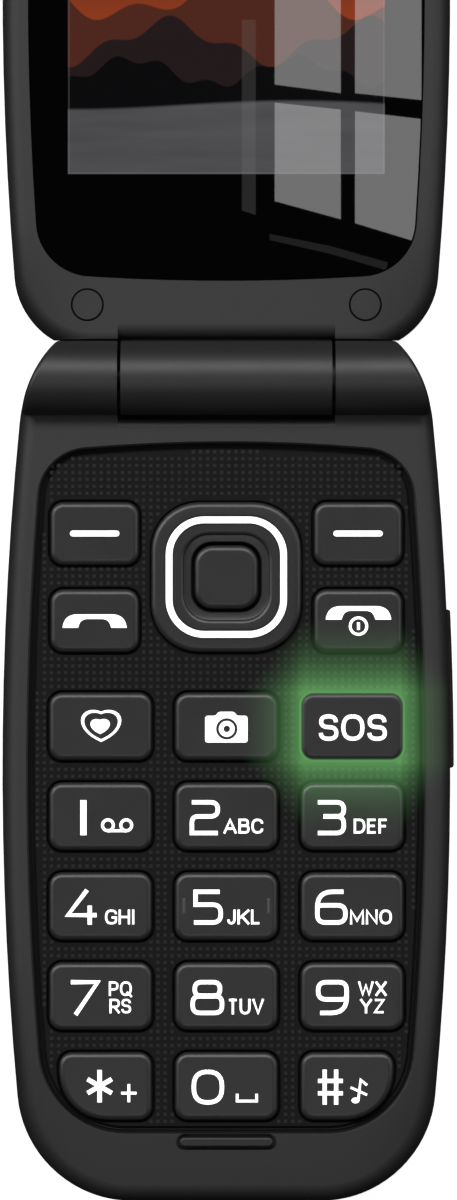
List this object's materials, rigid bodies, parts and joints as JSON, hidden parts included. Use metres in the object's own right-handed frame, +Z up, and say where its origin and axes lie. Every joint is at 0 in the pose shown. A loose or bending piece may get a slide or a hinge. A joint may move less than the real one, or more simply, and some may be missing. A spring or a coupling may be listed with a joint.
{
  "type": "clamshell mobile phone",
  "caption": "Folding mobile phone opened flat: keypad base with a navigation ring, and a hinged lid that holds the display behind a lens.",
  "frame": {"origin": "on the resting plane, straight under the middle of the hinge axis", "axes": "+X to the right along the hinge axis, +Y from the keypad to the far end of the display, +Z up out of the keys; modelled in millimetres with the base lying on its rear cover"},
  "size_m": [0.0524, 0.1908, 0.0163],
  "materials": {
    "housing": "satin moulded",
    "keys": "satin moulded",
    "panel": "dotted texture",
    "rubber": "matt",
    "light_ring": "translucent",
    "lens": "gloss",
    "display": "gloss",
    "white_film": "matt",
    "board": "solder mask",
    "steel": "plain",
    "contacts": "plated",
    "battery": "sleeved",
    "flex": "polyimide film",
    "component": "moulded",
    "lamp": "clear"
  },
  "bodies": {
    "base": {"base_front_housing": "housing", "base_rear_housing": "housing", "rear_cover": "housing", "battery": "battery", "battery_contacts": "contacts", "main_board": "board", "shield_can": "steel", "card_holder": "component", "usb_port": "steel", "loudspeaker": "component", "microphone": "component", "vibration_motor": "steel", "antenna": "component", "keypad_panel": "panel", "keypad_mat": "rubber", "dome_sheet": "white_film", "sos_light": "lamp", "lid_stop": "rubber", "base_screws": "steel", "hinge_shaft": "steel", "pivot_bush": "steel", "base_flex": "flex"},
    "lid": {"lid_frame": "housing", "lid_cover": "housing", "display_lens": "lens", "lcd_panel": "display", "lcd_backlight": "white_film", "lid_board": "board", "earpiece": "component", "earpiece_mesh": "steel", "screw_caps": "keys", "lid_screws": "steel", "camera_module": "component", "camera_window": "lens", "hinge_cartridge": "steel", "lid_flex": "flex"},
    "soft_key_left": {"soft_key_left": "keys"},
    "soft_key_right": {"soft_key_right": "keys"},
    "call_key": {"call_key": "keys"},
    "end_key": {"end_key": "keys"},
    "favourite_key": {"favourite_key": "keys"},
    "camera_key": {"camera_key": "keys"},
    "sos_key": {"sos_key": "keys"},
    "key_1": {"key_1": "keys"},
    "key_2": {"key_2": "keys"},
    "key_3": {"key_3": "keys"},
    "key_4": {"key_4": "keys"},
    "key_5": {"key_5": "keys"},
    "key_6": {"key_6": "keys"},
    "key_7": {"key_7": "keys"},
    "key_8": {"key_8": "keys"},
    "key_9": {"key_9": "keys"},
    "key_star": {"key_star": "keys"},
    "key_0": {"key_0": "keys"},
    "key_hash": {"key_hash": "keys"},
    "ok_key": {"ok_key": "keys"},
    "nav_pad": {"nav_pad": "rubber"},
    "nav_ring": {"nav_ring": "keys", "nav_light": "light_ring"},
    "volume_rocker": {"volume_rocker": "keys"}
  },
  "joints": [
    {"name": "lid_hinge", "type": "hinge", "parent": "base", "child": "lid", "pos_m": [0, 0, 0.012], "axis": [1, 0, 0], "range_deg": [0, 180]},
    {"name": "soft_key_left_press", "type": "slide", "parent": "base", "child": "soft_key_left", "axis": [0, 0, -1], "range_m": [0, 0.00035], "stiffness_N_per_m": 3000},
    {"name": "soft_key_right_press", "type": "slide", "parent": "base", "child": "soft_key_right", "axis": [0, 0, -1], "range_m": [0, 0.00035], "stiffness_N_per_m": 3000},
    {"name": "call_key_press", "type": "slide", "parent": "base", "child": "call_key", "axis": [0, 0, -1], "range_m": [0, 0.00035], "stiffness_N_per_m": 3000},
    {"name": "end_key_press", "type": "slide", "parent": "base", "child": "end_key", "axis": [0, 0, -1], "range_m": [0, 0.00035], "stiffness_N_per_m": 3000},
    {"name": "favourite_key_press", "type": "slide", "parent": "base", "child": "favourite_key", "axis": [0, 0, -1], "range_m": [0, 0.00035], "stiffness_N_per_m": 3000},
    {"name": "camera_key_press", "type": "slide", "parent": "base", "child": "camera_key", "axis": [0, 0, -1], "range_m": [0, 0.00035], "stiffness_N_per_m": 3000},
    {"name": "sos_key_press", "type": "slide", "parent": "base", "child": "sos_key", "axis": [0, 0, -1], "range_m": [0, 0.00035], "stiffness_N_per_m": 3000},
    {"name": "key_1_press", "type": "slide", "parent": "base", "child": "key_1", "axis": [0, 0, -1], "range_m": [0, 0.00035], "stiffness_N_per_m": 3000},
    {"name": "key_2_press", "type": "slide", "parent": "base", "child": "key_2", "axis": [0, 0, -1], "range_m": [0, 0.00035], "stiffness_N_per_m": 3000},
    {"name": "key_3_press", "type": "slide", "parent": "base", "child": "key_3", "axis": [0, 0, -1], "range_m": [0, 0.00035], "stiffness_N_per_m": 3000},
    {"name": "key_4_press", "type": "slide", "parent": "base", "child": "key_4", "axis": [0, 0, -1], "range_m": [0, 0.00035], "stiffness_N_per_m": 3000},
    {"name": "key_5_press", "type": "slide", "parent": "base", "child": "key_5", "axis": [0, 0, -1], "range_m": [0, 0.00035], "stiffness_N_per_m": 3000},
    {"name": "key_6_press", "type": "slide", "parent": "base", "child": "key_6", "axis": [0, 0, -1], "range_m": [0, 0.00035], "stiffness_N_per_m": 3000},
    {"name": "key_7_press", "type": "slide", "parent": "base", "child": "key_7", "axis": [0, 0, -1], "range_m": [0, 0.00035], "stiffness_N_per_m": 3000},
    {"name": "key_8_press", "type": "slide", "parent": "base", "child": "key_8", "axis": [0, 0, -1], "range_m": [0, 0.00035], "stiffness_N_per_m": 3000},
    {"name": "key_9_press", "type": "slide", "parent": "base", "child": "key_9", "axis": [0, 0, -1], "range_m": [0, 0.00035], "stiffness_N_per_m": 3000},
    {"name": "key_star_press", "type": "slide", "parent": "base", "child": "key_star", "axis": [0, 0, -1], "range_m": [0, 0.00035], "stiffness_N_per_m": 3000},
    {"name": "key_0_press", "type": "slide", "parent": "base", "child": "key_0", "axis": [0, 0, -1], "range_m": [0, 0.00035], "stiffness_N_per_m": 3000},
    {"name": "key_hash_press", "type": "slide", "parent": "base", "child": "key_hash", "axis": [0, 0, -1], "range_m": [0, 0.00035], "stiffness_N_per_m": 3000},
    {"name": "ok_key_press", "type": "slide", "parent": "base", "child": "ok_key", "axis": [0, 0, -1], "range_m": [0, 0.00035], "stiffness_N_per_m": 3000},
    {"name": "nav_left_right", "type": "hinge", "parent": "base", "child": "nav_pad", "pos_m": [0, -0.02305, 0.00875], "axis": [0, 1, 0], "range_deg": [-1.5, 1.5], "stiffness_Nm_per_rad": 0.3},
    {"name": "nav_up_down", "type": "hinge", "parent": "nav_pad", "child": "nav_ring", "pos_m": [0, -0.02305, 0.00875], "axis": [1, 0, 0], "range_deg": [-1.5, 1.5], "stiffness_Nm_per_rad": 0.3},
    {"name": "volume_rock", "type": "hinge", "parent": "base", "child": "volume_rocker", "pos_m": [0.0243, -0.036, 0.0078], "axis": [0, 0, 1], "range_deg": [-1.5, 1.5], "stiffness_Nm_per_rad": 0.3}
  ]
}
